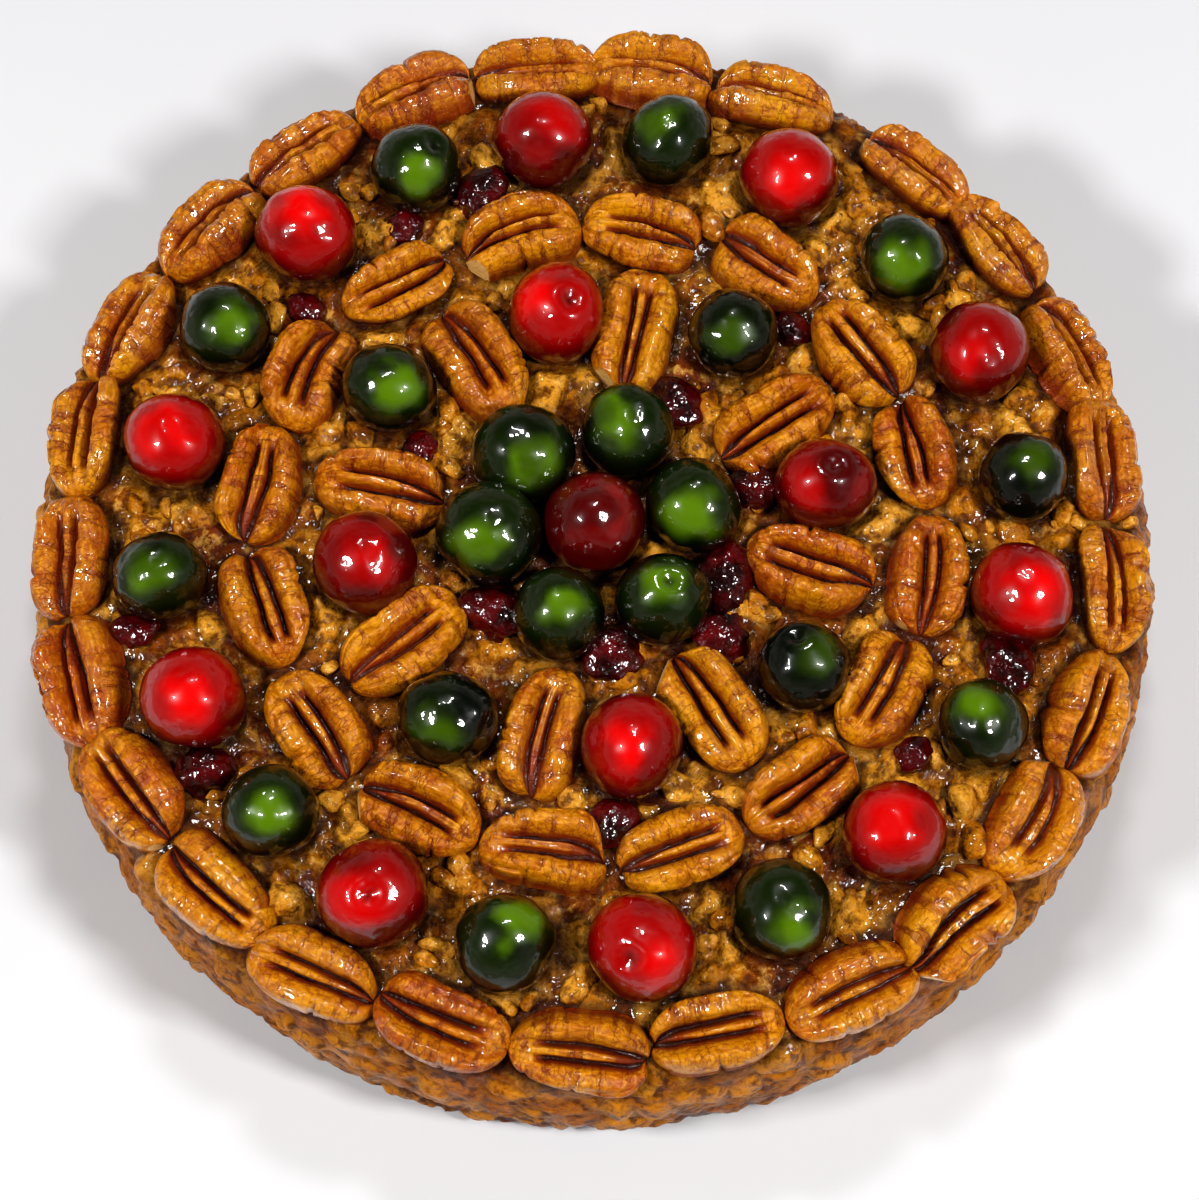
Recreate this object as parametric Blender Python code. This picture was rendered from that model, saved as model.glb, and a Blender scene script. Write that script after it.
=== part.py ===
"""Round fruit cake, topped with pecan halves and candied cherries.

The origin is the centre of the cake's base, +Z is up and -Y is the front. A bearing is the angle
in degrees from +X, anticlockwise seen from above. Sizes of the rings, nuts and cherries are in mm.
"""

import math
import random

import bmesh
import bpy
from mathutils import Matrix, Vector

MM = 0.001

# Cake: a squat drum with a rounded foot, a flat top and a sloping seat for the rim of nuts.
CAKE_RADIUS = 113.5 * MM
CAKE_TOP = 42 * MM
FOOT_RADIUS = 109 * MM
SEAT_INNER_RADIUS = 95 * MM
SEAT_OUTER_RADIUS = 109 * MM
SEAT_SLOPE = 18
CAKE_SEGMENTS = 96
OUTLINE_WAVES = ((3, 0.5, 40), (5, 0.4, 100), (8, 0.3, 10))
SIDE_LUMPS = ((17, 0.5, 70, 0), (23, 0.4, -90, 50), (31, 0.3, 40, 20))

# Toppings stand clear of the cake by this much.
GAP = 0.3 * MM

# Pecan half: a flat back, two long grooves and three ridges.
NUT_HEIGHT = 0.42
NUT_GROOVE_DEPTH = 0.17
NUT_GROOVE_ANGLE = 62
NUT_ARC_ANGLES = (0, 24, 45, NUT_GROOVE_ANGLE, 90, 180 - NUT_GROOVE_ANGLE, 135, 156, 180)
NUT_STATIONS = (-0.91, -0.6, 0, 0.6, 0.91)
NUT_BLUNTNESS = 2.4

# Cherry: a ball sunk into the cake by a fifth of its width, with a stem dimple.
CHERRY_SEGMENTS = 12
CHERRY_CENTRE = 0.3
CHERRY_RING_ANGLES = (-4, 28, 60)
CHERRY_DIMPLE = 0.16
CHERRY_OVAL = 0.03

# Rim of nuts, evenly spaced and tip to tip, open between its last nut and its first.
RIM_COUNT = 25
RIM_FIRST = 69
RIM_STEP = 14.25
RIM_RADIUS = 103
RIM_NUT_LENGTH = 29

# Rings inside the rim: number of pieces, bearing of the first, distance from the middle.
MIDDLE_NUTS = (16, 14, 66.5)
MIDDLE_NUT_LENGTH = 24.4
INNER_NUTS = (8, 32.5, 43.5)
INNER_NUT_LENGTH = 27
POINTING_IN = 90
RED_RINGS = ((1, 0, 0), (4, 10, 46), (10, 25, 85.5))
GREEN_RINGS = ((4, 55, 50), (10, 7, 85.5))

# Rosette of green cherries round the middle one. The second and third are squeezed together.
ROSETTE = (6, 70, 20.5)
SQUEEZE = 4
SQUEEZED_WIDTH = 20

NUT_WIDTH = 15.2
RED_WIDTH = 20.5
GREEN_WIDTH = 18.5

# Hand-laid food is uneven: most that a piece differs in place, turn and size.
SEED = 11
UNEVEN_BEARING = 1
UNEVEN_DISTANCE = 0.7
UNEVEN_TURN = 8
UNEVEN_LENGTH = 0.8
UNEVEN_WIDTH = 0.5


def clear_scene():
    for old in list(bpy.data.objects):
        bpy.data.objects.remove(old, do_unlink=True)


def food_material(name, colour, roughness):
    material = bpy.data.materials.new(name)
    material.use_nodes = True
    shader = material.node_tree.nodes["Principled BSDF"]
    shader.inputs["Base Color"].default_value = (*colour, 1)
    shader.inputs["Roughness"].default_value = roughness
    shader.inputs["Metallic"].default_value = 0
    return material


def add_object(name, mesh, material, place=None):
    """Adds a mesh object, smooth except where its faces meet at a sharp angle."""
    mesh.materials.append(material)
    mesh.shade_smooth()
    mesh.set_sharp_from_angle(angle=math.radians(50))
    made = bpy.data.objects.new(name, mesh)
    if place is not None:
        made.matrix_world = place
    bpy.context.scene.collection.objects.link(made)
    return made


def mesh_from_rings(name, rings, first_tip=None, last_tip=None):
    """Skins a closed body over rings of points, each end closed by a tip point or a flat face."""
    shape = bmesh.new()
    loops = [[shape.verts.new(point) for point in ring] for ring in rings]
    for lower, upper in zip(loops, loops[1:]):
        for index, start in enumerate(lower):
            following = (index + 1) % len(lower)
            shape.faces.new((start, lower[following], upper[following], upper[index]))
    close_end(shape, loops[0], first_tip)
    close_end(shape, loops[-1], last_tip)
    bmesh.ops.recalc_face_normals(shape, faces=shape.faces)
    mesh = bpy.data.meshes.new(name)
    shape.to_mesh(mesh)
    shape.free()
    return mesh


def close_end(shape, loop, tip):
    if tip is None:
        shape.faces.new(loop)
        return
    point = shape.verts.new(tip)
    for index, start in enumerate(loop):
        shape.faces.new((start, loop[(index + 1) % len(loop)], point))


def at_bearing(bearing, distance, height):
    """The point at a bearing, a distance from the cake's axis and a height."""
    angle = math.radians(bearing)
    return Vector((distance * math.cos(angle), distance * math.sin(angle), height))


def cake_profile():
    """Radius and height up the side, from the foot to the inner edge of the nuts' seat."""
    seat_drop = (SEAT_OUTER_RADIUS - SEAT_INNER_RADIUS) * math.tan(math.radians(SEAT_SLOPE))
    seat_edge = CAKE_TOP - seat_drop
    return (
        (FOOT_RADIUS, 0),
        (FOOT_RADIUS + 0.5 * (CAKE_RADIUS - FOOT_RADIUS), 0.06 * CAKE_TOP),
        (CAKE_RADIUS, 0.24 * CAKE_TOP),
        (CAKE_RADIUS + 0.5 * MM, 0.48 * CAKE_TOP),
        (CAKE_RADIUS, 0.68 * CAKE_TOP),
        (CAKE_RADIUS - 1.6 * MM, 0.5 * (0.68 * CAKE_TOP + seat_edge)),
        (SEAT_OUTER_RADIUS, seat_edge),
        (SEAT_INNER_RADIUS, CAKE_TOP),
    )


def side_unevenness(bearing, height):
    """How far the batter stands out of the true round at a point of the side."""
    outline = sum(size * math.cos(math.radians(count * bearing + phase))
                  for count, size, phase in OUTLINE_WAVES)
    lumps = sum(size * math.sin(math.radians(count * bearing + twist * height / MM / 10 + phase))
                for count, size, twist, phase in SIDE_LUMPS)
    return (outline + lumps) * MM


def cake_mesh():
    rings = []
    for radius, height in cake_profile():
        on_side = 0 < height < CAKE_TOP and radius > SEAT_OUTER_RADIUS
        ring = []
        for step in range(CAKE_SEGMENTS):
            bearing = 360 * step / CAKE_SEGMENTS
            out = side_unevenness(bearing, height) if on_side else 0
            ring.append(at_bearing(bearing, radius + out, height))
        rings.append(ring)
    return mesh_from_rings("cake", rings)


def nut_mesh(name, length, width):
    """A pecan half along X, flat side down at Z = 0, closed at both ends by a blunt tip."""
    rings = []
    for station in NUT_STATIONS:
        girth = (1 - abs(station) ** NUT_BLUNTNESS) ** (1 / NUT_BLUNTNESS)
        ring = []
        for angle in NUT_ARC_ANGLES:
            reach = girth
            if angle in (NUT_GROOVE_ANGLE, 180 - NUT_GROOVE_ANGLE):
                reach = girth * (1 - NUT_GROOVE_DEPTH)
            across = 0.5 * width * reach * math.cos(math.radians(angle))
            up = NUT_HEIGHT * width * reach * math.sin(math.radians(angle))
            ring.append(Vector((0.5 * length * station, across, up)))
        rings.append(ring)
    tip_height = 0.12 * width
    tips = [Vector((0.5 * length * end, 0, tip_height)) for end in (-1, 1)]
    return mesh_from_rings(name, rings, *tips)


def nut_place(bearing, distance, turn, height, slope=0):
    """A nut's placing: its long side lies along the rim, turned, and it leans outwards by slope."""
    return (
        Matrix.Translation(at_bearing(bearing, distance, height))
        @ Matrix.Rotation(math.radians(bearing + 90), 4, "Z")
        @ Matrix.Rotation(math.radians(slope), 4, "X")
        @ Matrix.Rotation(math.radians(turn), 4, "Z")
    )


def cherry_mesh(name, width, order):
    """A candied cherry, cut flat at Z = 0 where it meets the cake, a little oval, with a dimple."""
    ball = 0.5 * width
    centre = CHERRY_CENTRE * width
    cut_angle = -math.degrees(math.asin(centre / ball))
    rings = []
    for angle in (cut_angle, *CHERRY_RING_ANGLES):
        rise = centre + ball * math.sin(math.radians(angle))
        radius = ball * math.cos(math.radians(angle))
        ring = []
        for step in range(CHERRY_SEGMENTS):
            around = 360 * step / CHERRY_SEGMENTS
            oval = 1 - CHERRY_OVAL * (1 + math.cos(math.radians(2 * around + 75 * order)))
            ring.append(at_bearing(around, radius * oval, rise))
        rings.append(ring)
    dimple = Vector((0, 0, centre + ball * (1 - CHERRY_DIMPLE)))
    return mesh_from_rings(name, rings, None, dimple)


def unite(target, tool):
    """Joins a second object to the target with a Boolean union, then removes the second."""
    modifier = target.modifiers.new("union", "BOOLEAN")
    modifier.operation = "UNION"
    modifier.solver = "EXACT"
    modifier.object = tool
    graph = bpy.context.evaluated_depsgraph_get()
    joined = bpy.data.meshes.new_from_object(target.evaluated_get(graph))
    target.modifiers.remove(modifier)
    target.data = joined
    bpy.data.objects.remove(tool, do_unlink=True)


def build_cake(material):
    add_object("cake", cake_mesh(), material)


def even_bearings(count, first):
    return [first + 360 * order / count for order in range(count)]


def nut_ring(draw, bearings, distance, turn, length):
    """Nuts at these bearings: bearing, distance, turn, length and width of each."""
    ring = []
    for bearing in bearings:
        ring.append((
            bearing + draw.uniform(-UNEVEN_BEARING, UNEVEN_BEARING),
            distance + draw.uniform(-UNEVEN_DISTANCE, UNEVEN_DISTANCE),
            turn + draw.uniform(-UNEVEN_TURN, UNEVEN_TURN),
            length + draw.uniform(-UNEVEN_LENGTH, UNEVEN_LENGTH),
            NUT_WIDTH + draw.uniform(-UNEVEN_WIDTH, UNEVEN_WIDTH),
        ))
    return ring


def cherry_ring(draw, count, first, distance, width):
    """Cherries evenly round a ring: bearing, distance and width of each."""
    ring = []
    for bearing in even_bearings(count, first):
        ring.append((
            bearing + draw.uniform(-UNEVEN_BEARING, UNEVEN_BEARING),
            distance + draw.uniform(-UNEVEN_DISTANCE, UNEVEN_DISTANCE),
            width + draw.uniform(-UNEVEN_WIDTH, UNEVEN_WIDTH),
        ))
    return ring


def build_rim(draw, material):
    """The rim's nuts touch tip to tip and form one piece."""
    drop = (RIM_RADIUS * MM - SEAT_INNER_RADIUS) * math.tan(math.radians(SEAT_SLOPE))
    height = CAKE_TOP - drop + GAP / math.cos(math.radians(SEAT_SLOPE))
    bearings = [RIM_FIRST + RIM_STEP * order for order in range(RIM_COUNT)]
    nuts = []
    for order, nut in enumerate(nut_ring(draw, bearings, RIM_RADIUS, 0, RIM_NUT_LENGTH)):
        bearing, distance, turn, length, width = nut
        name = "pecan_rim" if order == 0 else f"rim_nut_{order:02d}"
        place = nut_place(bearing, distance * MM, turn, height, SEAT_SLOPE)
        nuts.append(add_object(name, nut_mesh(name, length * MM, width * MM), material, place))
    for nut in nuts[1:]:
        unite(nuts[0], nut)


def build_nuts(label, layout, material):
    for order, (bearing, distance, turn, length, width) in enumerate(layout, start=1):
        name = f"{label}_{order:02d}"
        place = nut_place(bearing, distance * MM, turn, CAKE_TOP + GAP)
        add_object(name, nut_mesh(name, length * MM, width * MM), material, place)


def build_cherries(label, layout, material):
    made = []
    for order, (bearing, distance, width) in enumerate(layout, start=1):
        name = f"{label}_{order:02d}"
        place = Matrix.Translation(at_bearing(bearing, distance * MM, CAKE_TOP + GAP))
        made.append(add_object(name, cherry_mesh(name, width * MM, order), material, place))
    return made


def build_greens(draw, material):
    """The single green cherries, and the two of the rosette that are squeezed together."""
    count, first, distance = ROSETTE
    rosette = cherry_ring(draw, count, first, distance, GREEN_WIDTH)
    bearings = even_bearings(count, first)
    squeezed = (
        (bearings[1] + SQUEEZE, distance, SQUEEZED_WIDTH),
        (bearings[2] - SQUEEZE, distance, SQUEEZED_WIDTH),
    )
    singles = rosette[:1] + rosette[3:]
    for ring in GREEN_RINGS:
        singles += cherry_ring(draw, *ring, GREEN_WIDTH)
    build_cherries("cherry_green", singles, material)
    pair = build_cherries("cherry_pair", squeezed, material)
    unite(pair[0], pair[1])


def main():
    clear_scene()
    batter = food_material("batter", (0.29, 0.12, 0.03), 0.35)
    pecan = food_material("pecan", (0.33, 0.13, 0.035), 0.35)
    red = food_material("cherry_red", (0.45, 0.01, 0.015), 0.12)
    green = food_material("cherry_green", (0.02, 0.09, 0.015), 0.12)
    build_cake(batter)
    draw = random.Random(SEED)
    build_rim(draw, pecan)
    count, first, distance = MIDDLE_NUTS
    middle = nut_ring(draw, even_bearings(count, first), distance, 0, MIDDLE_NUT_LENGTH)
    build_nuts("pecan_middle", middle, pecan)
    count, first, distance = INNER_NUTS
    inner = nut_ring(draw, even_bearings(count, first), distance, POINTING_IN, INNER_NUT_LENGTH)
    build_nuts("pecan_inner", inner, pecan)
    reds = []
    for ring in RED_RINGS:
        reds += cherry_ring(draw, *ring, RED_WIDTH)
    build_cherries("cherry_red", reds, red)
    build_greens(draw, green)


main()
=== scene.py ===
"""Looks of the fruit cake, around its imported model.

Lengths are in metres unless a name ends in MM or a comment says so, angles are in degrees, +Z is
up and -Y is the front. A bearing is an angle from +X, anticlockwise seen from above.
"""

import math
import random

import bmesh
import bpy
import numpy as np
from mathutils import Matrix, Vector


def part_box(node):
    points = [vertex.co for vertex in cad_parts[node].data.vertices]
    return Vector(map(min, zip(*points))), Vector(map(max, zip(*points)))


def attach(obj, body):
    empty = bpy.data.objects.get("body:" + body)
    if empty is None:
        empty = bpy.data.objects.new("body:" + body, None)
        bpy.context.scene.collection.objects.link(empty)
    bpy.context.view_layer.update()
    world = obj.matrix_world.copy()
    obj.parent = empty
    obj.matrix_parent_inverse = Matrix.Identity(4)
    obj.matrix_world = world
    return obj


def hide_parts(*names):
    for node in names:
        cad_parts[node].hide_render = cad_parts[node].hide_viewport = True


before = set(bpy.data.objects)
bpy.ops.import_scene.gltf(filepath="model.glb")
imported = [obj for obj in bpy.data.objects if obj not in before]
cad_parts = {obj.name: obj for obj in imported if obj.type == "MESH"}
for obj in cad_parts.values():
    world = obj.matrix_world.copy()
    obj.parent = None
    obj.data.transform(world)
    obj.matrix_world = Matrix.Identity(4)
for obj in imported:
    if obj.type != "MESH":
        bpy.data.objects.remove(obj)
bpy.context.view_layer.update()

MM = 0.001
BODY = "root"

# The cake's own form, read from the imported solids.
CAKE_LOW, CAKE_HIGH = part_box("cake")
CAKE_TOP = CAKE_HIGH.z
CAKE_RADIUS = 0.25 * (CAKE_HIGH.x - CAKE_LOW.x + CAKE_HIGH.y - CAKE_LOW.y)

# Side of the cake, as shares of its radius and height, from the foot to the level top.
SIDE_PROFILE = (
    (0.955, 0.0), (0.968, 0.025), (0.980, 0.10), (0.988, 0.25), (0.992, 0.45),
    (0.990, 0.62), (0.980, 0.76), (0.962, 0.865), (0.932, 0.925), (0.885, 0.972), (0.830, 1.0),
)
LEVEL_TOP_SHARE = SIDE_PROFILE[-1][0]
TOP_GRID = 184
SIDE_RINGS = 66
UNDER_RINGS = 5

# Rim nuts, laid as in the part: evenly spaced, and uneven by draws from the same seed.
RIM_COUNT = 25
RIM_FIRST = 69
RIM_STEP = 14.25
RIM_RADIUS_MM = 103
RIM_NUT_LENGTH_MM = 27
RIM_NUT_WIDTH_MM = 16.2
RIM_SEED = 11
RIM_TILT = 20

# Most that a rim nut differs: bearing, distance, turn, length and width.
RIM_UNEVEN = (1, 0.7, 8, 0.8, 0.9)

# The two green cherries that are squeezed together: bearing, distance and width in mm.
SQUEEZED_CHERRIES = ((134, 20.5, 20), (186, 20.5, 20))

# How much longer and wider the other nuts are than their nodes.
NUT_GROWTH = (1.03, 1.08)

# Tones of the nuts, from -1, olive gold, to 1, russet: the usual one and how much they spread.
USUAL_TONE = 0.08
TONE_SPREAD = 0.27
TONE_SEED = 5
MIDDLE_COUNT = 16
INNER_COUNT = 8

# Fruit sunk in the batter, nearly black, scattered where toppings leave room.
DARK_COUNT = 16
DARK_WIDTHS_MM = (8, 14)
DARK_DISTANCES_MM = (24, 97)
DARK_ROOM_SHARE = 0.22
DARK_SEED = 3
DARK_SHAPE_SEED = 300


# ---------------------------------------------------------------- noise

def whole_number_noise(cell, seed):
    """A repeatable number from 0 to 1 for each row of three whole numbers."""
    mixed = cell[..., 0] * 73856093 ^ cell[..., 1] * 19349663 ^ cell[..., 2] * 83492791
    mixed = (mixed + seed * 40503) & 0xFFFFFFFF
    mixed = ((mixed ^ (mixed >> 15)) * 2246822519) & 0xFFFFFFFF
    mixed = ((mixed ^ (mixed >> 13)) * 3266489917) & 0xFFFFFFFF
    return ((mixed ^ (mixed >> 16)) & 0xFFFFFF) / 0xFFFFFF


def smooth_noise(points, size, seed=0):
    """Smooth noise from -1 to 1 with features of about this size."""
    scaled = np.asarray(points) / size + 1000.0
    base = np.floor(scaled).astype(np.int64)
    part = scaled - base
    part = part * part * part * (part * (part * 6 - 15) + 10)
    total = np.zeros(len(scaled))
    for corner in np.ndindex(2, 2, 2):
        offset = np.array(corner)
        weight = np.prod(np.where(offset == 1, part, 1 - part), axis=-1)
        total += weight * whole_number_noise(base + offset, seed)
    return total * 2 - 1


def layered_noise(points, size, layers=3, seed=0):
    total = np.zeros(len(points))
    for layer in range(layers):
        total += smooth_noise(points, size / 2 ** layer, seed + 17 * layer) / 2 ** layer
    return total


def cobbles(points, size, seed=0):
    """Rounded lumps: how far inside its lump each point is, from 0 to 1, and the lump's number."""
    scaled = np.asarray(points) / size + 1000.0
    base = np.floor(scaled).astype(np.int64)
    nearest = np.full(len(scaled), 9.0)
    second = np.full(len(scaled), 9.0)
    number = np.zeros(len(scaled))
    for step in np.ndindex(3, 3, 3):
        cell = base + np.array(step) - 1
        centre = cell + np.stack(
            [whole_number_noise(cell, seed + 1 + axis) for axis in range(3)], axis=-1)
        distance = np.linalg.norm(scaled - centre, axis=-1)
        closer = distance < nearest
        second = np.where(closer, nearest, np.minimum(second, distance))
        number = np.where(closer, whole_number_noise(cell, seed + 9), number)
        nearest = np.where(closer, distance, nearest)
    return np.clip((second - nearest) * 1.6, 0, 1), number


def ease(low, high, value):
    """0 below low, 1 above high, and a smooth step between them."""
    share = np.clip((value - low) / (high - low), 0, 1)
    return share * share * (3 - 2 * share)


def bell(value, middle, width):
    return np.exp(-(((value - middle) / width) ** 2))


# ---------------------------------------------------------------- meshes

def new_piece(name, points, faces, material, replaced=(), values=None):
    """A smooth mesh piece that rides on the cake, with a number for each point under each name."""
    mesh = bpy.data.meshes.new(name)
    mesh.from_pydata(np.asarray(points).tolist(), [], faces)
    for label, numbers in (values or {}).items():
        numbers = np.asarray(numbers, dtype=np.float32)
        kind, key = ("FLOAT", "value") if numbers.ndim == 1 else ("FLOAT_VECTOR", "vector")
        mesh.attributes.new(label, kind, "POINT").data.foreach_set(key, numbers.ravel())
    mesh.shade_smooth()
    mesh.materials.append(material)
    piece = bpy.data.objects.new(name, mesh)
    bpy.context.scene.collection.objects.link(piece)
    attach(piece, BODY)
    if replaced:
        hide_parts(*replaced)
    return piece


def tube_faces(rings, around, first, last):
    """Faces of a closed skin over rings of points, with the two tip points' numbers."""
    faces = []
    for ring in range(rings - 1):
        for step in range(around):
            after = (step + 1) % around
            low, high = ring * around, (ring + 1) * around
            faces.append((low + step, low + after, high + after, high + step))
    top = (rings - 1) * around
    for step in range(around):
        after = (step + 1) % around
        faces.append((first, after, step))
        faces.append((last, top + step, top + after))
    return faces


def ball(detail):
    """Points and triangles of an even ball of radius 1."""
    shape = bmesh.new()
    bmesh.ops.create_icosphere(shape, subdivisions=detail, radius=1)
    points = np.array([vertex.co[:] for vertex in shape.verts])
    faces = [tuple(vertex.index for vertex in face.verts) for face in shape.faces]
    shape.free()
    return points, faces


def at_bearing(bearing, distance, height=0.0):
    angle = math.radians(bearing)
    return np.array((distance * math.cos(angle), distance * math.sin(angle), height))


def turned(points, angle, axis=2):
    """Points turned about the X, Y or Z axis: 0, 1 or 2."""
    cosine, sine = math.cos(math.radians(angle)), math.sin(math.radians(angle))
    first, second = ((1, 2), (2, 0), (0, 1))[axis]
    result = np.array(points, dtype=float)
    result[..., first] = cosine * points[..., first] - sine * points[..., second]
    result[..., second] = sine * points[..., first] + cosine * points[..., second]
    return result


# ---------------------------------------------------------------- layout

class Topping:
    """Where one nut or cherry lies: its middle, the heading of its long side and its size."""

    def __init__(self, name, middle, heading, length, width, tilt=0.0, tone=0.0, label=""):
        self.name = name
        self.label = label
        self.middle = middle
        self.heading = heading
        self.length = length
        self.width = width
        self.tilt = tilt
        self.tone = tone

    def far_outside(self, points):
        """How far each point is outside the topping's outline, seen from above, in metres."""
        offset = turned(points - self.middle, -self.heading)
        along = offset[:, 0] / (0.5 * self.length)
        across = offset[:, 1] / (0.5 * self.width)
        return (np.hypot(along, across) - 1) * 0.5 * self.width


def topping_from_node(name, tone=0.0):
    """Reads a node's middle, heading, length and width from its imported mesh."""
    points = np.array([vertex.co[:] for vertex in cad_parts[name].data.vertices])
    flat = np.unique(np.round(points, 6), axis=0)
    middle = 0.5 * (flat.min(axis=0) + flat.max(axis=0))
    middle[2] = flat[:, 2].min()
    spread = np.cov((flat - middle)[:, :2].T)
    direction = np.linalg.eigh(spread)[1][:, 1]
    heading = math.degrees(math.atan2(direction[1], direction[0]))
    straight = turned(flat - middle, -heading)
    length, width = np.ptp(straight[:, 0]), np.ptp(straight[:, 1])
    return Topping(name, middle, heading, length, width, tone=tone)


def nut_from_node(name, tone):
    """A nut in its node's place, a little fuller than the node, which is sized to stay clear."""
    nut = topping_from_node(name, tone)
    nut.length *= NUT_GROWTH[0]
    nut.width *= NUT_GROWTH[1]
    return nut


def seat_height(distance):
    """The height of the cake's own form at a distance from its axis, on the top or the shoulder."""
    shares = np.array(SIDE_PROFILE[::-1])
    return np.interp(distance / CAKE_RADIUS, shares[:6, 0], shares[:6, 1]) * CAKE_TOP


def rim_toppings(tones):
    """The rim's nuts, in the part's own order of draws."""
    draw = random.Random(RIM_SEED)
    usual = (0, RIM_RADIUS_MM, 0, RIM_NUT_LENGTH_MM, RIM_NUT_WIDTH_MM)
    toppings = []
    for order in range(RIM_COUNT):
        bearing, distance, turn, length, width = (
            value + draw.uniform(-most, most) for value, most in zip(usual, RIM_UNEVEN))
        bearing += RIM_FIRST + RIM_STEP * order
        middle = at_bearing(bearing, distance * MM, seat_height(distance * MM))
        toppings.append(Topping(
            f"pecan_rim_{order + 1:02d}", middle, bearing + 90 + turn, length * MM, width * MM,
            RIM_TILT, tones[order]))
    return toppings


# ---------------------------------------------------------------- materials

class Nodes:
    """A short way to write a material's nodes."""

    def __init__(self, name):
        self.material = bpy.data.materials.new(name)
        self.material.use_nodes = True
        self.tree = self.material.node_tree
        self.shader = self.tree.nodes["Principled BSDF"]

    def add(self, kind, inputs=None, **settings):
        node = self.tree.nodes.new(kind)
        for key, value in settings.items():
            setattr(node, key, value)
        for key, value in (inputs or {}).items():
            self.feed(node.inputs[key], value)
        return node

    def feed(self, socket, value):
        if isinstance(value, bpy.types.NodeSocket):
            self.tree.links.new(value, socket)
        else:
            socket.default_value = value

    def place(self):
        return self.add("ShaderNodeTexCoord").outputs["Object"]

    def value(self, name):
        return self.add("ShaderNodeAttribute", attribute_name=name).outputs["Fac"]

    def vector(self, name, scale=(1, 1, 1)):
        stored = self.add("ShaderNodeAttribute", attribute_name=name).outputs["Vector"]
        return self.add("ShaderNodeMapping", {"Vector": stored, "Scale": scale}).outputs[0]

    def wander(self, vector, scale, amount):
        """The same place, pushed about by noise, so that a pattern loses its straight lines."""
        noise = self.add("ShaderNodeTexNoise", {"Vector": vector, "Scale": scale, "Detail": 2})
        push = self.add("ShaderNodeVectorMath", {0: noise.outputs["Color"], 1: (0.5, 0.5, 0.5)},
                        operation="SUBTRACT").outputs[0]
        push = self.add("ShaderNodeVectorMath", {0: push, "Scale": amount},
                        operation="SCALE").outputs[0]
        return self.add("ShaderNodeVectorMath", {0: vector, 1: push}).outputs[0]

    def noise(self, scale, detail=3.0, roughness=0.55, vector=None):
        inputs = {"Vector": vector or self.place(), "Scale": scale, "Detail": detail,
                  "Roughness": roughness}
        return self.add("ShaderNodeTexNoise", inputs).outputs["Fac"]

    def cells(self, scale, feature="F1", vector=None, randomness=1.0):
        inputs = {"Vector": vector or self.place(), "Scale": scale, "Randomness": randomness}
        return self.add("ShaderNodeTexVoronoi", inputs, feature=feature).outputs["Distance"]

    def math(self, operation, first, second=0.0):
        return self.add("ShaderNodeMath", {0: first, 1: second}, operation=operation).outputs[0]

    def span(self, value, low, high, new_low=0.0, new_high=1.0):
        inputs = {"Value": value, "From Min": low, "From Max": high, "To Min": new_low,
                  "To Max": new_high}
        return self.add("ShaderNodeMapRange", inputs, clamp=True).outputs["Result"]

    def mix(self, share, first, second, blend="MIX"):
        node = self.add("ShaderNodeMix", data_type="RGBA", blend_type=blend)
        self.feed(node.inputs[0], share)
        self.feed(node.inputs[6], colour(first))
        self.feed(node.inputs[7], colour(second))
        return node.outputs[2]

    def bump(self, height, strength, distance, normal=None):
        inputs = {"Height": height, "Strength": strength, "Distance": distance}
        if normal is not None:
            inputs["Normal"] = normal
        return self.add("ShaderNodeBump", inputs).outputs["Normal"]

    def finish(self, **inputs):
        for key, value in inputs.items():
            self.feed(self.shader.inputs[key.replace("_", " ")], value)
        return self.material


def colour(value):
    return value if isinstance(value, bpy.types.NodeSocket) else (*value, 1.0)


def shade(red, green, blue):
    """A linear colour from the usual 0 to 255 screen numbers."""
    return tuple((number / 255) ** 2.2 for number in (red, green, blue))


def pecan_material():
    """Toasted skin in the nut's own coordinates: X along it and Y across, in millimetres."""
    n = Nodes("glazed_pecan")
    deep, furrow = n.value("deep"), n.value("furrow")
    mottle = n.noise(1.2, 3, vector=n.vector("nut_place", (0.5, 1, 1)))
    skin = n.mix(n.span(n.value("tone"), -1, 1), shade(210, 142, 6), shade(168, 80, 5))
    skin = n.mix(n.span(mottle, 0.52, 0.7, 0, 0.6), skin, shade(234, 162, 44))
    skin = n.mix(n.span(mottle, 0.48, 0.3, 0, 0.6), skin, shade(132, 54, 4))
    crossing = n.wander(n.vector("nut_place", (1.3, 0.45, 0.8)), 0.8, 1.6)
    veins = n.cells(0.6, "DISTANCE_TO_EDGE", crossing)
    vein = n.math("MULTIPLY", n.span(veins, 0.0, 0.08, 1.0, 0.0), n.span(furrow, -0.6, 0.8, 0.1, 0.9))
    skin = n.mix(vein, skin, shade(92, 30, 2))
    skin = n.mix(n.span(furrow, 0.25, 0.8, 0, 0.65), skin, shade(122, 48, 4))
    # Painted shade and dark glaze: red-brown on the groove walls and nearly black at their bottoms
    # and on the underside.
    skin = n.mix(n.span(deep, 0.1, 0.55, 0, 0.9), skin, shade(122, 40, 5))
    skin = n.mix(n.span(deep, 0.7, 1.0, 0, 0.92), skin, shade(34, 8, 1))
    skin = n.mix(n.value("flesh"), skin, shade(224, 178, 110))
    grain = n.bump(n.math("SUBTRACT", mottle, vein), 0.6, 0.3 * MM)
    ripples = n.bump(n.noise(0.7, 1, vector=n.vector("nut_place")), 0.7, 0.3 * MM)
    return n.finish(Base_Color=skin, Roughness=0.42, Normal=grain, Specular_IOR_Level=0.3,
                    Coat_Weight=n.value("glaze"), Coat_Roughness=0.06, Coat_Normal=ripples)


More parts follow.
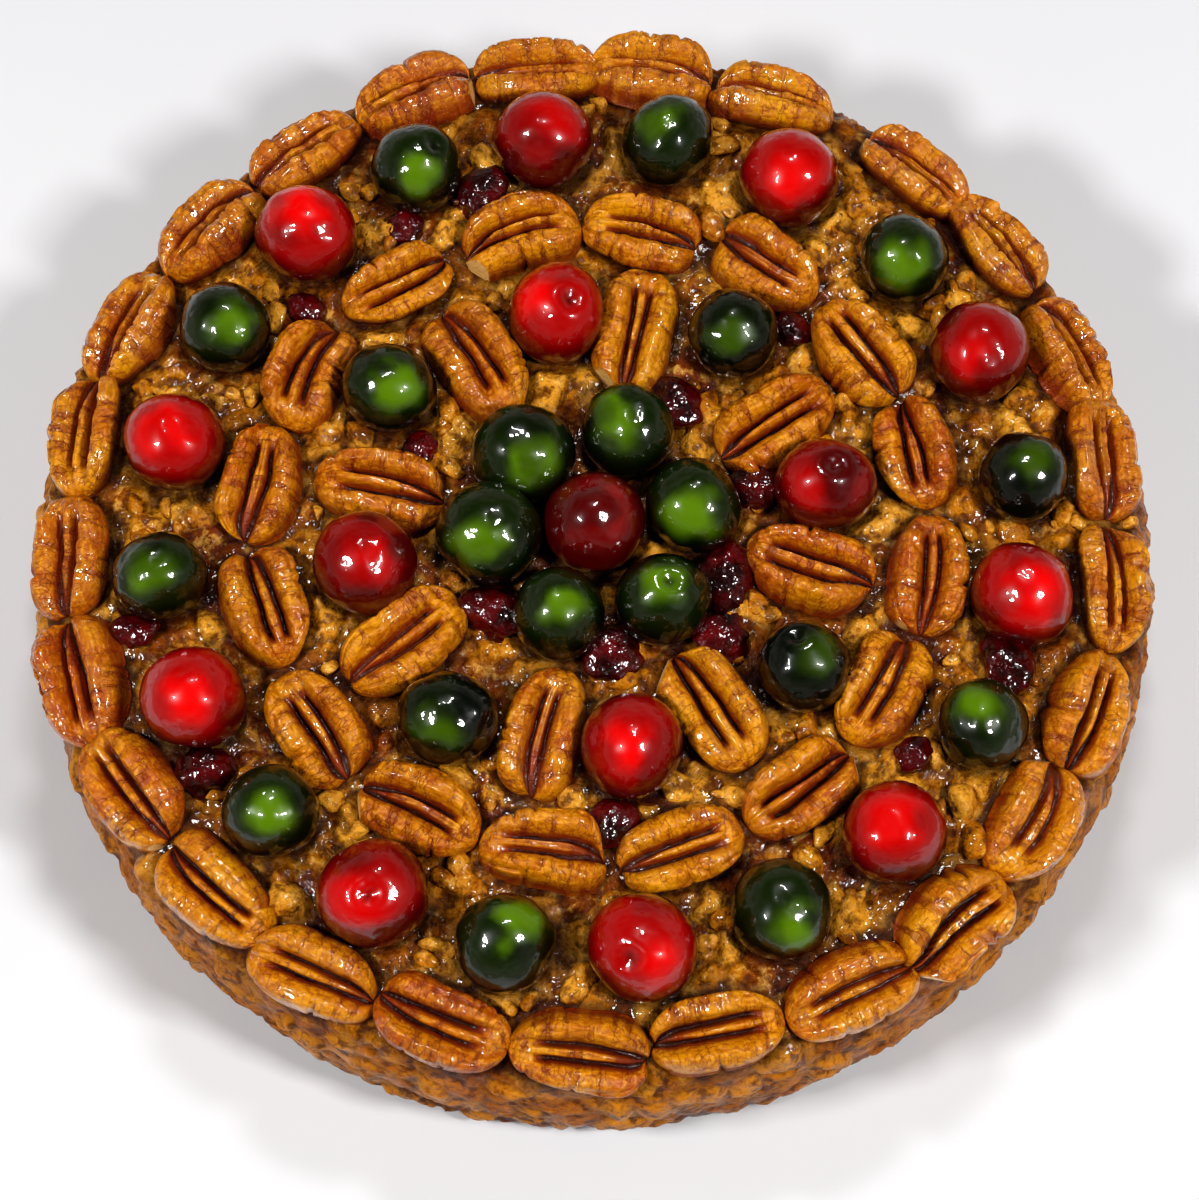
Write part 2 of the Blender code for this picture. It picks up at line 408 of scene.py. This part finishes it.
def batter_material():
    n = Nodes("glazed_batter")
    lump, crevice_shade_and_syrup, side = n.value("lump"), n.value("crevice_shade_and_syrup"), n.value("side")
    crumb = n.noise(330, 3, 0.6)
    fine = n.noise(900, 2, 0.6)
    brown = n.mix(n.value("broad"), shade(134, 70, 4), shade(186, 118, 12))
    brown = n.mix(n.span(lump, 0.55, 0.8, 0, 0.75), brown, shade(220, 156, 52))
    brown = n.mix(n.span(lump, 0.2, 0.1, 0, 0.6), brown, shade(112, 46, 4))
    brown = n.mix(n.span(side, 0, 1, 0, 0.6), brown, shade(188, 110, 0))
    brown = n.mix(n.span(crumb, 0.5, 0.62, 0, 0.75), brown, shade(72, 28, 1))
    pale = n.mix(side, shade(232, 176, 84), shade(206, 132, 10))
    brown = n.mix(n.span(crumb, 0.44, 0.32, 0, 0.7), brown, pale)
    brown = n.mix(n.span(fine, 0.52, 0.66, 0, 0.45), brown, shade(84, 34, 2))
    # Painted shade and dark syrup, nearly black, in the crevices.
    brown = n.mix(n.math("MULTIPLY", crevice_shade_and_syrup, 0.9), brown, shade(38, 12, 0))
    brown = n.mix(n.value("foot"), brown, shade(70, 24, 3))
    bumps = n.bump(n.math("ADD", crumb, n.math("MULTIPLY", fine, 0.3)), 0.8, -1.3 * MM)
    ripples = n.math("ADD", n.noise(360, 1), n.math("MULTIPLY", fine, 0.15))
    syrup = n.bump(ripples, 0.9, 0.8 * MM)
    return n.finish(Base_Color=brown, Roughness=0.5, Normal=bumps, Specular_IOR_Level=0.12,
                    Coat_Weight=n.value("wet"), Coat_Roughness=0.05, Coat_Normal=syrup)


def cherry_material(name, flesh, dark, glow):
    n = Nodes(name)
    # The painted glow of light through the fruit.
    base = n.mix(n.value("glow"), flesh, glow)
    # The dark colour is darker tone and painted shade.
    base = n.mix(n.value("ripe"), base, dark)
    ripples = n.bump(n.noise(430, 1), 0.6, 0.5 * MM)
    return n.finish(Base_Color=base, Roughness=0.3, Specular_IOR_Level=0.2,
                    Coat_Weight=1.0, Coat_Roughness=0.03, Coat_Normal=ripples)


def dark_fruit_material():
    n = Nodes("sunk_fruit")
    base = n.mix(n.span(n.noise(200, 3), 0.4, 0.7), shade(38, 3, 4), shade(96, 6, 14))
    creases = n.bump(n.noise(380, 2), 0.7, 1.0 * MM)
    return n.finish(Base_Color=base, Roughness=0.3, Normal=creases, Specular_IOR_Level=0.2,
                    Coat_Weight=1.0, Coat_Roughness=0.03, Coat_Normal=creases)


def floor_material():
    n = Nodes("pale_floor")
    tint = n.mix(n.noise(6, 2), shade(214, 214, 217), shade(222, 222, 224))
    return n.finish(Base_Color=tint, Roughness=0.7)


# ---------------------------------------------------------------- cake body

def disc_grid(count):
    """Points of a square grid bent into a disc of radius 1, and the ring of its border points."""
    ticks = np.linspace(-1, 1, count + 1)
    across, up = np.meshgrid(ticks, ticks, indexing="ij")
    points = np.stack([across * np.sqrt(1 - up ** 2 / 2), up * np.sqrt(1 - across ** 2 / 2)], -1)
    number = np.arange((count + 1) ** 2).reshape(count + 1, count + 1)
    border = np.concatenate([number[:-1, 0], number[-1, :-1], number[:0:-1, -1], number[0, :0:-1]])
    faces = np.stack([number[:-1, :-1], number[1:, :-1], number[1:, 1:], number[:-1, 1:]], -1)
    return points.reshape(-1, 2), border, faces.reshape(-1, 4)


def smooth_profile(count):
    """Radius and height of evenly spaced rings down the side, from the level top to the foot."""
    corners = np.array(SIDE_PROFILE[::-1]) * (CAKE_RADIUS, CAKE_TOP)
    gaps = np.linalg.norm(np.diff(corners, axis=0), axis=1)
    reach = np.concatenate([[0], np.cumsum(gaps)])
    fine = np.linspace(0, reach[-1], 12 * count)
    line = np.stack([np.interp(fine, reach, corners[:, axis]) for axis in (0, 1)], -1)
    window = np.ones(25) / 25
    padded = np.concatenate([np.repeat(line[:1], 12, 0), line, np.repeat(line[-1:], 12, 0)])
    soft = np.stack([np.convolve(padded[:, axis], window, "valid") for axis in (0, 1)], -1)
    soft[-1] = corners[-1]
    return soft[np.linspace(0, len(soft) - 1, count + 1).astype(int)[1:]]


def cake_form():
    """Undisplaced points of the cake, their outward directions and the faces."""
    disc, border, faces = disc_grid(TOP_GRID)
    level = np.column_stack([disc * LEVEL_TOP_SHARE * CAKE_RADIUS, np.full(len(disc), CAKE_TOP)])
    outward = np.tile((0.0, 0.0, 1.0), (len(level), 1))
    around = disc[border] / np.linalg.norm(disc[border], axis=1)[:, None]
    profile = smooth_profile(SIDE_RINGS)
    slope = np.gradient(np.concatenate([[[LEVEL_TOP_SHARE * CAKE_RADIUS, CAKE_TOP]], profile]),
                        axis=0)[1:]
    points, directions, rings = [level], [outward], [border]
    start = len(level)
    for (radius, height), (run, drop) in zip(profile, slope):
        points.append(np.column_stack([around * radius, np.full(len(around), height)]))
        steep = math.hypot(run, drop)
        lean = np.column_stack([around * (-drop / steep), np.full(len(around), run / steep)])
        directions.append(lean)
        rings.append(np.arange(start, start + len(around)))
        start += len(around)
    foot = profile[-1][0]
    for ring in range(1, UNDER_RINGS + 1):
        share = 1 - ring / (UNDER_RINGS + 1)
        points.append(np.column_stack([around * foot * share, np.zeros(len(around))]))
        directions.append(np.zeros((len(around), 3)))
        rings.append(np.arange(start, start + len(around)))
        start += len(around)
    skin = [tuple(face) for face in faces.tolist()]
    for upper, lower in zip(rings, rings[1:]):
        following, below = np.roll(upper, -1), np.roll(lower, -1)
        skin += np.stack([upper, lower, below, following], -1).tolist()
    skin.append(tuple(rings[-1][::-1].tolist()))
    return np.concatenate(points), np.concatenate(directions), skin


def build_cake(toppings, material):
    points, outward, faces = cake_form()
    clear = np.full(len(points), 1.0)
    for topping in toppings:
        clear = np.minimum(clear, topping.far_outside(points))
    side = ease(0.93 * CAKE_RADIUS, 0.99 * CAKE_RADIUS, np.hypot(points[:, 0], points[:, 1]))
    side = np.maximum(side, ease(0.9 * CAKE_TOP, 0.7 * CAKE_TOP, points[:, 2]))
    clear = np.where(points[:, 2] < 0.75 * CAKE_TOP, 10 * MM, clear)
    open_share = ease(-0.5 * MM, 2.5 * MM, clear)
    wandering = points + 2.5 * MM * np.stack(
        [layered_noise(points, 9 * MM, 2, layer) for layer in (31, 32, 33)], -1)
    big, number = cobbles(wandering, 8 * MM, 3)
    small, _ = cobbles(points, 3.2 * MM, 4)
    relief = 2.6 * MM * ease(0, 0.6, big) * (0.15 + 0.85 * number)
    relief += 1.3 * MM * ease(0, 0.8, small) * (1 - 0.7 * side)
    relief += 0.7 * MM * layered_noise(points, 4 * MM, 3, 5)
    relief += 1.2 * MM * side * smooth_noise(points, 12 * MM, 34)
    relief = relief * (1 - 0.4 * side) - 1.1 * MM
    relief = np.where(clear < 0, -0.6 * MM, relief * open_share + -0.6 * MM * (1 - open_share))
    foot_share = ease(0, 2.5 * MM, points[:, 2])
    moved = points + outward * (relief * foot_share)[:, None]
    # Painted shade and dark syrup: darker in the crevices beside and under the toppings and between
    # the lumps.
    crevice_shade_and_syrup = (1 - open_share) * 0.8 + 0.6 * (1 - ease(0.0, 0.35, big)) * (1 - 0.4 * side)
    foot = 0.8 * ease(5 * MM, 1 * MM, points[:, 2] + 6 * relief)
    wet = ease(-0.25, 0.3, layered_noise(points, 7 * MM, 2, 6))
    wet = (0.15 + 0.85 * wet) * (1 - 0.7 * side) * (1 - 0.6 * np.clip(crevice_shade_and_syrup, 0, 1))
    broad = ease(-0.4, 0.4, layered_noise(points, 11 * MM, 3, 7))
    values = {"lump": number, "crevice_shade_and_syrup": np.clip(crevice_shade_and_syrup, 0, 1), "side": side, "foot": foot,
              "wet": wet, "broad": broad}
    return new_piece("cake_batter", moved, faces, material, ("cake",), values)


# ---------------------------------------------------------------- nuts

NUT_STATIONS = 66
NUT_TOP_STEPS = 56
NUT_UNDER_STEPS = 8
NUT_HEIGHT = 0.46
NUT_SINK = 1.4 * MM


def lobe(across, inner, middle, outer):
    """A rounded ridge over a nut's width, steeper on the side of the groove."""
    inside = np.clip((middle - across) / (middle - inner), 0, 1)
    outside = np.clip((across - middle) / (outer - middle), 0, 1)
    return (1 - inside ** 2.4) ** 0.7 * (1 - outside ** 2.8) ** 0.6


def pecan_points(topping, seed):
    """A pecan half with its flat back down, closed at its -X end and open at its +X end.

    Returns its points and the numbers its material reads at each of them.
    """
    chance = np.random.default_rng(seed)
    even = np.linspace(-1, 1, NUT_STATIONS + 2)[1:-1]
    along = 0.6 * even + 0.4 * np.sin(even * math.pi / 2)
    spread = np.linspace(1, -1, NUT_TOP_STEPS)
    top = 0.7 * spread + 0.3 * np.sin(spread * math.pi / 2)
    under = np.linspace(-1, 1, NUT_UNDER_STEPS + 2)[1:-1]
    u, across = np.meshgrid(along, np.concatenate([top, under]), indexing="ij")
    on_top = np.arange(across.shape[1])[None, :] < NUT_TOP_STEPS
    local = np.stack([u, across, np.full_like(u, 3.7 * seed)], -1).reshape(-1, 3)

    def texture(along_size, across_size, layer):
        places = local / (along_size, across_size, 1)
        return smooth_noise(places, 1.0, seed + layer).reshape(u.shape)

    def either(low, high):
        return chance.uniform(low, high)

    # The outline, with bites out of its two long edges.
    closed_end = (1 - np.abs(u) ** either(1.9, 2.9)) ** 0.5
    open_end = (1 - np.abs(u) ** either(3.6, 5.5)) ** 0.5
    girth = np.where(u < 0, closed_end, open_end) * (1 + either(-0.1, 0.12) * u)
    bites = np.zeros_like(u)
    for side in (-1, -1, -1, 1, 1, 1):
        slant = u + 0.16 * np.abs(across)
        bite = bell(slant, either(-0.7, 0.9), either(0.015, 0.045)) * either(0.0, 0.14)
        bites += bite * ease(either(-0.1, 0.6), 0.95, across * side)
    half_width = 0.5 * topping.width * girth * (1 + 0.07 * texture(0.5, 1.4, 1) - 0.7 * bites)
    arch = (1 - np.abs(u) ** 3.2) ** 0.5

    # Two wide outer lobes and a lower ridge that narrows towards the open end.
    sway = 0.11 * either(-1, 1) + 0.04 * texture(0.9, 9, 2)
    place = across - sway - either(-0.12, 0.12) * u ** 2
    opening = ease(0.1, 1.0, u)
    closing = ease(either(-0.5, -0.3), either(-0.9, -0.75), u)
    groove_at = either(0.14, 0.2) - 0.05 * u + 0.035 * texture(0.35, 0.7, 7)
    groove_half = either(0.004, 0.018) + 0.02 * opening
    outer = lobe(np.abs(place), groove_at + groove_half, groove_at + 0.4, 1.03)
    ridge_edge = groove_at - groove_half
    ridge = (1 - np.clip(np.abs(place) / ridge_edge, 0, 1) ** 2.6) ** 0.6
    outer *= 1 + either(-0.12, 0.12) * np.sign(place)
    ridge *= either(0.7, 0.86) - 0.3 * opening + 0.12 * closing
    ridge -= chance.choice((0, 0.05, 0.14)) * bell(place, 0, 0.03) * (1 - opening)
    floor = (either(0.3, 0.42) + 0.5 * closing) * (1 - np.abs(across) ** 4)
    profile = np.maximum(np.maximum(outer, ridge), floor)

    fold_at = either(0.72, 0.84)
    fold = either(0, 0.22) * bell(np.abs(place) + 0.05 * u, fold_at, 0.035)
    fold *= ease(0.1, 0.5, texture(0.8, 1.4, 8))
    crease = np.exp(-(texture(0.17, 0.6, 3) / 0.11) ** 2) * ease(0.1, 0.3, np.abs(place))
    relief = fold + 1.6 * bites + 0.09 * crease + 0.04 * texture(0.5, 0.1, 4)
    relief += 0.07 * texture(0.25, 0.35, 5)
    furrow = texture(0.11, 0.45, 9) + 0.4 * texture(0.05, 0.2, 13)
    relief += 0.035 * furrow
    z = NUT_HEIGHT * topping.width * arch * (profile - relief * np.clip(profile, 0, 1))
    z = np.where(on_top, z, -1.0 * MM)

    x = 0.5 * topping.length * u
    y = half_width * across
    share = y / (0.5 * topping.width)
    cleft = either(0.04, 0.1) * bell(share, sway, 0.17)
    shorter = either(0, 0.09) * ease(-0.05, 0.25, share * chance.choice((-1, 1)))
    x -= 0.5 * topping.length * (cleft + shorter) * ease(0.3, 1, u)
    bend = either(-1.3, 1.3) * MM
    y += bend * u ** 2
    points = np.stack([x, y, z], -1).reshape(-1, 3)
    tip = 0.5 * topping.length
    tips = np.array([(-tip, bend, 0.5 * MM), (tip * (1 - cleft.max()), bend, 0.5 * MM)])
    points = np.concatenate([points, tips])

    # Painted shade and dark glaze: red-brown to nearly black in the grooves, creases, folds and
    # bites, less on the outer flanks, and black on the underside.
    deep = ease(0.8, 0.32, profile) * np.where(np.abs(across) < 0.6, 1, 0.45)
    deep = np.where(on_top, deep + 2.0 * bites + 1.5 * fold + 0.22 * crease, 1.0).reshape(-1)
    deep = np.concatenate([np.clip(deep, 0, 1), (0.8, 1)])
    patch = topping.tone + 0.6 * texture(0.6, 0.9, 10) + 0.5 * texture(0.2, 0.3, 11)
    looks = {"deep": deep, "tone": patch, "furrow": furrow,
             "glaze": ease(-0.4, 0.3, texture(0.5, 0.7, 12)) * (1 - 0.75 * ease(0.75, 0.4, profile))}

    # A corner of the open end is broken off some nuts.
    corner = math.radians(chance.choice((-1, 1)) * either(15, 40))
    facing = np.array((math.cos(corner), math.sin(corner), 0.15))
    over = points @ facing - tip * either(0.86, 1.1)
    over = np.maximum(over, 0)
    points -= 0.85 * over[:, None] * facing
    looks = {label: np.append(number.ravel(), (0, 0)) if number.ndim == 2 else number
             for label, number in looks.items()}
    looks["flesh"] = ease(0.1 * MM, 0.4 * MM, over)
    looks["nut_place"] = points / MM + 40 * seed
    return points, looks


def build_pecan(topping, seed, material, replaced):
    shape, looks = pecan_points(topping, seed)
    around_turn = 180 * (seed % 2)
    points = turned(shape, topping.heading - rim_bearing(topping) - 90 + around_turn)
    points = turned(points, topping.tilt, 0)
    points = turned(points, rim_bearing(topping) + 90)
    points = points + topping.middle - (0, 0, NUT_SINK)
    around = NUT_TOP_STEPS + NUT_UNDER_STEPS
    count = NUT_STATIONS * around
    faces = tube_faces(NUT_STATIONS, around, count, count + 1)
    name = f"nut_{topping.name}"
    return new_piece(name, points, faces, material, (replaced,), looks)


def rim_bearing(topping):
    return math.degrees(math.atan2(topping.middle[1], topping.middle[0]))


# ---------------------------------------------------------------- cherries

CHERRY_GROWTH = 1.05

# Cherries that aren't round from above: how much longer than wide, and which way they lie.
OVAL_CHERRIES = {
    "cherry_red_02": (1.12, 0), "cherry_red_03": (1.05, 90), "cherry_red_05": (1.04, 90),
    "cherry_red_06": (1.05, 80), "cherry_red_07": (1.05, 0), "cherry_red_08": (1.09, 0),
    "cherry_red_09": (1.10, -25), "cherry_red_10": (1.08, -10), "cherry_red_12": (1.06, 20),
    "cherry_red_14": (1.06, 0), "cherry_red_15": (1.06, 110), "cherry_green_03": (1.08, 10),
    "cherry_green_06": (1.10, -5), "cherry_green_07": (1.12, -10), "cherry_green_08": (1.06, -15),
    "cherry_green_10": (1.07, 90), "cherry_green_11": (1.07, 60), "cherry_green_14": (1.08, 0),
    "cherry_green_15": (1.07, 0),
}

# Cherries with their stem hole in sight: where it is, right and back from the top.
STEM_HOLES = {
    "cherry_red_02": (0.15, 0.1), "cherry_red_03": (0.3, -0.1), "cherry_red_12": (0.0, -0.3),
    "cherry_red_13": (-0.3, -0.5), "cherry_green_03": (0.1, 0.1), "cherry_green_08": (-0.2, 0.4),
    "cherry_green_12": (0.5, 0.2),
}

# Darker cherries, from 0 for a bright one to 1 for the darkest.
RIPE_CHERRIES = {
    "cherry_red_01": 0.75, "cherry_red_02": 0.5, "cherry_red_04": 0.4, "cherry_red_06": 0.3,
    "cherry_red_08": 0.4, "cherry_red_12": 0.3, "cherry_red_14": 0.2, "cherry_green_05": 0.6,
    "cherry_green_07": 0.5, "cherry_green_08": 0.7, "cherry_green_09": 0.6,
}


def squeezed_cherries():
    for order, (bearing, distance, width) in enumerate(SQUEEZED_CHERRIES, start=1):
        middle = at_bearing(bearing, distance * MM, CAKE_TOP)
        yield Topping("cherry_pair_01", middle, 0, width * MM, width * MM, label=f"_{order}")


def build_cherry(topping, seed, material):
    chance = np.random.default_rng(seed)
    points, faces = ball(4)
    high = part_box(topping.name)[1]
    radius = 0.5 * CHERRY_GROWTH * 0.5 * (topping.length + topping.width)
    relief = 0.05 * smooth_noise(points + seed, 0.9, seed)
    relief += 0.02 * smooth_noise(points + seed, 0.4, seed + 1)
    for _ in range(4):
        spot = chance.normal(size=3)
        spot /= np.linalg.norm(spot)
        reach = np.linalg.norm(points - spot, axis=1)
        relief -= chance.uniform(0.02, 0.06) * bell(reach, 0, chance.uniform(0.2, 0.4))
    for _ in range(6):
        spot = chance.normal(size=3) + (0, 0, 1.0)
        spot /= np.linalg.norm(spot)
        across = np.cross(spot, chance.normal(size=3))
        across /= np.linalg.norm(across)
        length = bell(np.linalg.norm(points - spot, axis=1), 0, chance.uniform(0.2, 0.45))
        relief -= chance.uniform(0.03, 0.08) * length * bell(points @ across, 0, 0.05)
    hole = np.zeros(len(points))
    if topping.name in STEM_HOLES:
        stem = np.array((*STEM_HOLES[topping.name], 1.0))
        reach = np.linalg.norm(points - stem / np.linalg.norm(stem), axis=1)
        relief -= 0.2 * bell(reach, 0, 0.15) - 0.03 * bell(reach, 0.34, 0.12)
        hole = bell(reach, 0, 0.13)
    # A painted glow: a bright patch near the top that stands in for light shining through the fruit.
    glow_at = np.array((chance.uniform(-0.5, 0.3), chance.uniform(-0.6, 0.2), 0.8))
    glow_at /= np.linalg.norm(glow_at)
    reach = np.linalg.norm(points - glow_at, axis=1) + 0.25 * smooth_noise(points, 0.4, seed + 3)
    glow = ease(chance.uniform(0.6, 0.85), 0.2, reach)
    stretch, lie = OVAL_CHERRIES.get(topping.name, (1.0, 0))
    moved = turned(points * (1 + relief)[:, None] * radius, -lie)
    moved = turned(moved * (math.sqrt(stretch), 1 / math.sqrt(stretch), 1), lie)
    moved[:, 2] += high.z - radius * 0.98
    moved[:, :2] += topping.middle[:2]
    name = f"glazed_{topping.name}{topping.label}"
    # Darker at random and for the cherries listed above, with painted shade on the lower side and in
    # the stem hole.
    ripe = RIPE_CHERRIES.get(topping.name, 0) + 0.5 * ease(0, 0.7, smooth_noise(
        points - seed, 0.7, seed + 2))
    ripe = np.maximum(ripe + 0.9 * ease(0.75, 0.1, points[:, 2]), hole)
    values = {"glow": glow, "ripe": np.clip(ripe, 0, 0.95)}
    return new_piece(name, moved, faces, material, (topping.name,), values)


# ---------------------------------------------------------------- sunk fruit

def build_dark_fruit(order, bearing, distance, width, material):
    points, faces = ball(4)
    seed = DARK_SHAPE_SEED + order
    relief = 0.22 * smooth_noise(points + order, 0.8, seed)
    relief += 0.10 * smooth_noise(points + order, 0.35, seed + 1)
    size = np.array((0.5, 0.42, 0.28)) * width * MM
    moved = turned(points * (1 + relief)[:, None] * size, 37 * order)
    moved += at_bearing(bearing, distance * MM, seat_height(distance * MM) + 0.06 * width * MM)
    return new_piece(f"sunk_fruit_{order:02d}", moved, faces, material)


def scatter_dark_fruit(toppings, material):
    """Sunk fruits between the toppings, none on top of another."""
    chance = np.random.default_rng(DARK_SEED)
    placed = []
    while len(placed) < DARK_COUNT:
        bearing, distance = chance.uniform(0, 360), chance.uniform(*DARK_DISTANCES_MM)
        width = chance.uniform(*DARK_WIDTHS_MM)
        spot = at_bearing(bearing, distance * MM, CAKE_TOP)
        near = min(topping.far_outside(spot[None, :])[0] for topping in toppings)
        clear = all(np.linalg.norm(spot - other) > 0.5 * (width + reach) * MM
                    for other, reach in placed)
        if near > DARK_ROOM_SHARE * width * MM and clear:
            placed.append((spot, width))
            build_dark_fruit(len(placed), bearing, distance, width, material)


# ---------------------------------------------------------------- chopped nuts

CHOPPED_COUNT = 150
CHOPPED_SIZES_MM = (1.3, 2.2)
CHOPPED_REACH_MM = 108
CHOPPED_ROOM_SHARE = 0.5
CHOPPED_SEED = 71

# The first few are larger broken nuts. A room share is how far from the toppings a piece lies,
# as a share of its size.
BROKEN_COUNT = 18
BROKEN_WIDTHS_MM = (6.5, 9.5)
BROKEN_ROOM_SHARE = 0.25
SHARD_CUTS = 6


def shard(unit, chance):
    """A chopped piece of nut: a ball with flat cut faces, and how far each point is on a cut."""
    points = unit * (1 + 0.25 * smooth_noise(unit + chance.uniform(0, 50), 0.9))[:, None]
    cut = np.zeros(len(points))
    for _ in range(SHARD_CUTS):
        facing = chance.normal(size=3)
        facing /= np.linalg.norm(facing)
        over = np.maximum(points @ facing - chance.uniform(0.45, 0.8), 0)
        points = points - over[:, None] * facing
        cut = np.maximum(cut, ease(0, 0.05, over))
    return points, cut


def build_chopped_nuts(toppings, material):
    """Chopped nuts half sunk in the batter between the toppings, as one mesh."""
    chance = np.random.default_rng(CHOPPED_SEED)
    unit, unit_faces = ball(2)
    points, faces, lumps, broads = [], [], [], []
    while len(points) < CHOPPED_COUNT:
        bearing = chance.uniform(0, 360)
        distance = CHOPPED_REACH_MM * MM * math.sqrt(chance.uniform(0, 1))
        if len(points) < BROKEN_COUNT:
            size = 0.45 * chance.uniform(*BROKEN_WIDTHS_MM) * MM
            room = BROKEN_ROOM_SHARE
        else:
            size = chance.uniform(*CHOPPED_SIZES_MM) * MM / chance.uniform(0.55, 1.0)
            room = CHOPPED_ROOM_SHARE
        spot = at_bearing(bearing, distance, seat_height(distance))
        near = min(t.far_outside(spot[None, :])[0] for t in toppings)
        if near < room * size:
            continue
        number = len(points)
        shape, cut = shard(unit, chance)
        shape = shape * np.array((1.25, 0.9, 0.6)) * size
        shape = turned(turned(shape, chance.uniform(-35, 35), 0), chance.uniform(0, 360))
        points.append(shape + spot + (0, 0, 0.05 * size))
        faces += [tuple(index + number * len(unit) for index in face) for face in unit_faces]
        lumps.append(np.full(len(unit), chance.uniform(0.3, 0.75)) + 0.15 * cut)
        broads.append(np.full(len(unit), chance.uniform(0.3, 1)))
    points = np.concatenate(points)
    nothing = np.zeros(len(points))
    values = {"lump": np.concatenate(lumps), "broad": np.concatenate(broads), "crevice_shade_and_syrup": nothing,
              "side": nothing, "foot": nothing, "wet": np.full(len(points), 0.6)}
    return new_piece("chopped_nuts", points, faces, material, (), values)


# ---------------------------------------------------------------- stage

CAMERA_TARGET = Vector((0, 0, 0.48 * CAKE_TOP))
CAMERA_ELEVATION = 70
CAMERA_DISTANCE = 660 * MM
CAMERA_LENS_MM = 96.5
CAMERA_SHIFT = (0.005, -0.0255)


def aim(thing, target):
    thing.rotation_euler = (target - thing.location).to_track_quat("-Z", "Y").to_euler()


def from_target(azimuth, elevation, distance):
    """A place around the cake: azimuth 0 is in front, and it grows anticlockwise from above."""
    turn, tilt = math.radians(azimuth - 90), math.radians(elevation)
    flat = math.cos(tilt)
    return CAMERA_TARGET + distance * Vector(
        (flat * math.cos(turn), flat * math.sin(turn), math.sin(tilt)))


def add_camera():
    camera = bpy.data.objects.new("camera", bpy.data.cameras.new("camera"))
    bpy.context.scene.collection.objects.link(camera)
    camera.location = from_target(0, CAMERA_ELEVATION, CAMERA_DISTANCE)
    aim(camera, CAMERA_TARGET)
    camera.data.lens = CAMERA_LENS_MM
    camera.data.shift_x, camera.data.shift_y = CAMERA_SHIFT
    bpy.context.scene.camera = camera


def add_panel(name, azimuth, elevation, distance, size, power):
    light = bpy.data.lights.new(name, "AREA")
    light.shape = "RECTANGLE"
    light.size, light.size_y = size
    light.energy = power
    panel = bpy.data.objects.new(name, light)
    bpy.context.scene.collection.objects.link(panel)
    panel.location = from_target(azimuth, elevation, distance)
    aim(panel, CAMERA_TARGET)


def add_lights():
    add_panel("left_panel", 295, 52, 0.9, (0.17, 0.12), 4.3)
    add_panel("right_panel", 62, 54, 0.9, (0.12, 0.17), 4.6)
    add_panel("window", 175, 66, 1.0, (0.16, 0.10), 2.4)
    add_soft_room()


def add_soft_room():
    """Surroundings that are pale near the floor and dim overhead."""
    world = bpy.data.worlds.new("soft_room")
    world.use_nodes = True
    tree = world.node_tree
    place = tree.nodes.new("ShaderNodeTexCoord")
    split = tree.nodes.new("ShaderNodeSeparateXYZ")
    span = tree.nodes.new("ShaderNodeMapRange")
    span.inputs["From Min"].default_value = 0.0
    span.inputs["From Max"].default_value = 0.7
    span.inputs["To Min"].default_value = 0.4
    span.inputs["To Max"].default_value = 0.02
    tree.links.new(place.outputs["Generated"], split.inputs["Vector"])
    tree.links.new(split.outputs["Z"], span.inputs["Value"])
    background = tree.nodes["Background"]
    background.inputs["Color"].default_value = (1.0, 0.93, 0.84, 1)
    tree.links.new(span.outputs["Result"], background.inputs["Strength"])
    bpy.context.scene.world = world


def add_floor(material):
    mesh = bpy.data.meshes.new("floor")
    reach = 3.0
    corners = [(-reach, -reach, 0), (reach, -reach, 0), (reach, reach, 0), (-reach, reach, 0)]
    mesh.from_pydata(corners, [], [(0, 1, 2, 3)])
    mesh.materials.append(material)
    floor = bpy.data.objects.new("floor", mesh)
    floor.location.z = -0.2 * MM
    bpy.context.scene.collection.objects.link(floor)


# ---------------------------------------------------------------- the whole

# Each piece has its own seed, counted up from these.
RIM_NUT_SEED = 10
OTHER_NUT_SEED = 60
CHERRY_SEED = 110


def main():
    pecan = pecan_material()
    batter = batter_material()
    # Flesh colour, a dark colour for darker tone and painted shade, and a painted glow.
    red = cherry_material("candied_red", shade(160, 0, 4), shade(72, 0, 3), shade(222, 4, 4))
    green = cherry_material("candied_green", shade(26, 38, 4), shade(7, 12, 1),
                            shade(88, 120, 8))

    chance = np.random.default_rng(TONE_SEED)
    tones = chance.normal(USUAL_TONE, TONE_SPREAD, RIM_COUNT + MIDDLE_COUNT + INNER_COUNT)
    rim = rim_toppings(tones)
    middle = [nut_from_node(f"pecan_middle_{order:02d}", tones[RIM_COUNT + order - 1])
              for order in range(1, MIDDLE_COUNT + 1)]
    inner = [nut_from_node(f"pecan_inner_{order:02d}", tones[-order])
             for order in range(1, INNER_COUNT + 1)]
    cherries = [topping_from_node(name) for name in sorted(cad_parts)
                if name.startswith(("cherry_red", "cherry_green"))]
    cherries += squeezed_cherries()
    toppings = rim + middle + inner + cherries

    build_cake(toppings, batter)
    for order, nut in enumerate(rim):
        build_pecan(nut, RIM_NUT_SEED + order, pecan, "pecan_rim")
    for order, nut in enumerate(middle + inner):
        build_pecan(nut, OTHER_NUT_SEED + order, pecan, nut.name)
    for order, cherry in enumerate(cherries):
        is_red = "red" in cherry.name
        build_cherry(cherry, CHERRY_SEED + order, red if is_red else green)
    scatter_dark_fruit(toppings, dark_fruit_material())
    build_chopped_nuts(toppings, batter)
    add_floor(floor_material())
    add_lights()
    add_camera()


bpy.context.scene.view_settings.view_transform = "Standard"
bpy.context.scene.view_settings.look = "Medium High Contrast"
main()
